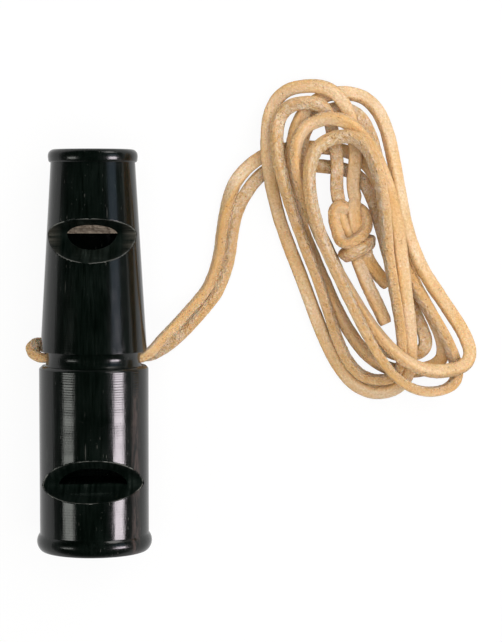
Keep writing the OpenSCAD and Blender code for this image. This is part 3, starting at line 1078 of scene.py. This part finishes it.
def turned(outline, steps=192, lift=0.0):
    """A solid turned round the whistle's axis, or round one lifted above it."""
    bm = bmesh.new()
    axis_z = AXIS_Z + lift
    verts = [bm.verts.new((0, LOW_END + dist, axis_z + radius)) for dist, radius in outline]
    edges = [bm.edges.new(pair) for pair in zip(verts, verts[1:])]
    bmesh.ops.spin(bm, geom=verts + edges, cent=(0, 0, axis_z), axis=(0, 1, 0), angle=math.tau,
                   steps=steps, use_merge=True)
    bmesh.ops.remove_doubles(bm, verts=bm.verts, dist=1e-4)
    return bm


def groove_cutter():
    """The ring cut away round the waist: a coved floor that lies deeper below, and a rounded shoulder."""
    half, barrel, outside = GROOVE_W / 2, BARREL_D / 2, BARREL_D
    low, high = GROOVE_AT - half, GROOVE_AT + half
    shoulder = arc((low - SHOULDER_ROUND, barrel - SHOULDER_ROUND), SHOULDER_ROUND, 90, 0, 10)
    floor = [
        (GROOVE_AT + half * t, GROOVE_CORE_D / 2 + GROOVE_COVE * t * t)
        for t in (i / 6 - 1 for i in range(13))
    ]
    start = (low - SHOULDER_ROUND, outside)
    return turned([start, *shoulder, *floor, (high, outside), start], lift=GROOVE_LIFT)


def window_face(floor, run, rise, steps=24):
    """One hollow face of a window in section, from its deepest line up past the horn."""
    return [(run * (i / steps) ** WINDOW_HOLLOW, floor + rise * i / steps) for i in range(steps + 1)]


def window_cutter(dist, floor, toward, skew):
    """A window's cut across the horn: its deepest line, its ramp and its steep wall."""
    rise = BARREL_D / 2 + CUT_OVER - floor
    ramp_face = window_face(floor, toward * rise / math.tan(RAMP_ANGLE), rise)
    wall_face = window_face(floor, -toward * rise * math.tan(WALL_LEAN), rise)
    section = ramp_face + wall_face[:0:-1]
    bm = bmesh.new()
    verts = [bm.verts.new((-BARREL_D, y, z)) for y, z in section]
    face = bm.faces.new(verts)
    drawn = bmesh.ops.extrude_face_region(bm, geom=[face])["geom"]
    far = [g for g in drawn if isinstance(g, bmesh.types.BMVert)]
    bmesh.ops.translate(bm, verts=far, vec=(2 * BARREL_D, 0, 0))
    bmesh.ops.rotate(bm, verts=bm.verts, matrix=Matrix.Rotation(skew, 3, "Z"))
    bmesh.ops.translate(bm, verts=bm.verts, vec=(0, LOW_END + dist, AXIS_Z))
    return bm


def hole_cutter():
    """The hole for the lace, straight across the waist."""
    bm = bmesh.new()
    lie = Matrix.Translation((0, GROOVE_Y, AXIS_Z)) @ Matrix.Rotation(math.pi / 2, 4, "Y")
    bmesh.ops.create_cone(bm, cap_ends=True, segments=64, radius1=CORD_HOLE_D / 2, radius2=CORD_HOLE_D / 2,
                          depth=2 * BARREL_D, matrix=lie)
    return bm


def low_window():
    return window_cutter(LOW_WINDOW_AT, LOW_WINDOW_FLOOR, 1, LOW_WINDOW_SKEW)


def high_window():
    return window_cutter(BODY_LEN - HIGH_WINDOW_AT, HIGH_WINDOW_FLOOR, -1, 0)


def settle_order(bm):
    """Puts a mesh's corners, edges and faces in an order that is the same in every run."""
    for parts, place in (
        (bm.verts, lambda v: v.co[:]),
        (bm.edges, lambda e: (e.verts[0].co + e.verts[1].co)[:]),
        (bm.faces, lambda f: f.calc_center_median()[:]),
    ):
        for number, part in enumerate(sorted(parts, key=place)):
            part.index = number
        parts.sort()


def cut_away(bm, skin, cutters, edge_round):
    """Cuts shapes out of a solid and softens its outer edges, as filing and polishing do."""
    target = finish_piece("blank", bm, skin)
    tools = []
    for cutter, cut_skin in cutters:
        tool = finish_piece("cutter", cutter, cut_skin)
        step = target.modifiers.new("cut", "BOOLEAN")
        step.operation = "DIFFERENCE"
        step.solver = "EXACT"
        step.material_mode = "TRANSFER"
        step.object = tool
        tools.append(tool)
    solid = target.evaluated_get(bpy.context.evaluated_depsgraph_get())
    mesh = bpy.data.meshes.new_from_object(solid)
    for piece in [target, *tools]:
        bpy.data.objects.remove(piece)
    cut = bmesh.new()
    cut.from_mesh(mesh)
    settle_order(cut)
    bmesh.ops.scale(cut, verts=cut.verts, vec=(1 / MM, 1 / MM, 1 / MM))
    bmesh.ops.remove_doubles(cut, verts=cut.verts, dist=MERGE_GAP)
    bmesh.ops.dissolve_degenerate(cut, edges=cut.edges, dist=SLIVER)
    sharp = [e for e in cut.edges if is_outer_rim(e)]
    bmesh.ops.bevel(cut, geom=sharp, offset=edge_round, offset_type="OFFSET", segments=3, profile=0.5,
                    affect="EDGES", material=-1, clamp_overlap=False)
    bmesh.ops.scale(cut, verts=cut.verts, vec=(MM, MM, MM))
    cut.to_mesh(mesh)
    cut.free()
    return mesh


def is_outer_rim(edge):
    """A sharp outward edge away from the bores."""
    if len(edge.link_faces) != 2 or not edge.is_convex or edge.calc_face_angle() < RIM_ANGLE:
        return False
    return all(math.hypot(v.co.x, v.co.z - AXIS_Z) > LOW_BORE_D / 2 + RIM_CLEAR for v in edge.verts)


def dress(name, mesh, node, slot):
    """Makes a cut mesh a smooth-shaded piece of the whistle."""
    mesh.shade_smooth()
    mesh.set_sharp_from_angle(angle=CUT_SMOOTH_ANGLE)
    piece = bpy.data.objects.new(name, mesh)
    bpy.context.scene.collection.objects.link(piece)
    level = piece.modifiers.new("even_shading", "WEIGHTED_NORMAL")
    level.keep_sharp = True
    stand_for(piece, "whistle", slot, node)


def block_blank(bore_d, start, end):
    """A round block with a flat for the windway."""
    radius = bore_d / 2 - BLOCK_FIT
    flat = AXIS_Z + bore_d / 2 - WINDWAY_H
    bm = turned([(start, 0), (start, radius), (end, radius), (end, 0)], steps=96)
    cut = bmesh.ops.bisect_plane(bm, geom=bm.verts[:] + bm.edges[:] + bm.faces[:], plane_co=(0, 0, flat),
                                 plane_no=(0, 0, 1), clear_outer=True)
    rim = [g for g in cut["geom_cut"] if isinstance(g, bmesh.types.BMEdge)]
    bmesh.ops.edgeloop_fill(bm, edges=rim)
    return bm


polished_horn = black_horn("polished_black_horn")
filed_horn = rough_horn("filed_black_horn")
# The cork of the high block and the pea is darkened as painted shade
block_cork = shade_darkened_cork("cut_cork_darkened_as_shade")

horn_cutters = [
    (groove_cutter(), polished_horn),
    (low_window(), filed_horn),
    (high_window(), filed_horn),
    (hole_cutter(), filed_horn),
]
low_blank = block_blank(LOW_BORE_D, BLOCK_RECESS, LOW_WINDOW_AT)
high_blank = block_blank(HIGH_BORE_D, BODY_LEN - HIGH_WINDOW_AT, BODY_LEN - BLOCK_RECESS)
horn = cut_away(turned(horn_outline()), polished_horn, horn_cutters, BODY_EDGE_ROUND)
low_block = cut_away(low_blank, filed_horn, [(low_window(), filed_horn)], BLOCK_EDGE_ROUND)
high_block = cut_away(high_blank, block_cork, [(high_window(), block_cork)], BLOCK_EDGE_ROUND)
dress("horn_body_turned", horn, "horn_body", "horn")
dress("low_tone_block_cut", low_block, "low_tone_block", "horn")
dress("high_tone_block_cut", high_block, "high_tone_block", "cork")


def make_pea():
    """A cork ball, filed round by hand."""
    low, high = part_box("cork_pea")
    centre = (low + high) / 2 / MM
    bm = bmesh.new()
    bmesh.ops.create_icosphere(bm, subdivisions=5, radius=PEA_D / 2)
    for v in bm.verts:
        v.co *= 1 - abs(ripple(PEA_FLATS, v.co)) - abs(ripple(PEA_DENTS, v.co))
    bmesh.ops.translate(bm, verts=bm.verts, vec=centre)
    piece = finish_piece("cork_pea_round", bm, block_cork)
    stand_for(piece, "pea", "cork", "cork_pea")


make_pea()


# Table and light

LAMP_DISTANCE = 0.75
TABLE_REACH = 2500
WALL_BAND = (0.05, 0.4)
WALL_LIGHT = (0.16, 0.008)


def make_table():
    bm = bmesh.new()
    bmesh.ops.create_grid(bm, x_segments=1, y_segments=1, size=TABLE_REACH)
    table = finish_piece("table", bm, pale_table("white_table"))


def softbox(name, direction, along, across, power, colour, use="both"):
    """A rectangular light that faces the whistle, for its reflection, for its light, or for both."""
    data = bpy.data.lights.new(name, "AREA")
    data.shape = "RECTANGLE"
    data.size = along
    data.size_y = across
    data.energy = power
    data.color = colour
    lamp = bpy.data.objects.new(name, data)
    away = Vector(direction).normalized()
    edge = (Vector((0, 1, 0)) - away * away.y).normalized()
    turn = Matrix((edge, away.cross(edge), away)).transposed()
    lamp.matrix_world = Matrix.Translation(away * LAMP_DISTANCE) @ turn.to_4x4()
    lamp.visible_glossy = use != "light"
    lamp.visible_diffuse = use != "reflection"
    bpy.context.scene.collection.objects.link(lamp)


def make_light():
    """A strip at each side, two small windows, a wide overhead fill, and walls that are pale low down."""
    softbox("right_strip", (0.82, -0.15, 0.553), 0.17, 0.29, 3.7, (1.0, 0.91, 0.97), use="reflection")
    softbox("left_strip", (-0.768, -0.15, 0.622), 0.12, 0.30, 0.68, (0.97, 1.0, 0.94))
    softbox("cool_window", (0.80, 0.20, 0.56), 0.28, 0.30, 0.25, (0.58, 0.77, 1.0))
    softbox("corner_window", (0.57, 0.74, 0.36), 0.3, 0.3, 1.5, (1.0, 0.98, 0.95))
    softbox("overhead_fill", (0.25, 0.05, 1.0), 1.0, 1.0, 9.9, (1.0, 0.98, 0.96), use="light")
    world = bpy.data.worlds.new("studio")
    world.use_nodes = True
    tree = world.node_tree
    way = wire(tree, "ShaderNodeTexCoord").outputs["Generated"]
    height = wire(tree, "ShaderNodeSeparateXYZ", {"Vector": way}).outputs["Z"]
    walls = fade(tree, height, *WALL_BAND, *WALL_LIGHT)
    tree.links.new(walls, tree.nodes["Background"].inputs["Strength"])
    tree.nodes["Background"].inputs["Color"].default_value = (1, 1, 1, 1)
    bpy.context.scene.world = world


make_table()
make_light()
bpy.context.scene.view_settings.view_transform = "Standard"
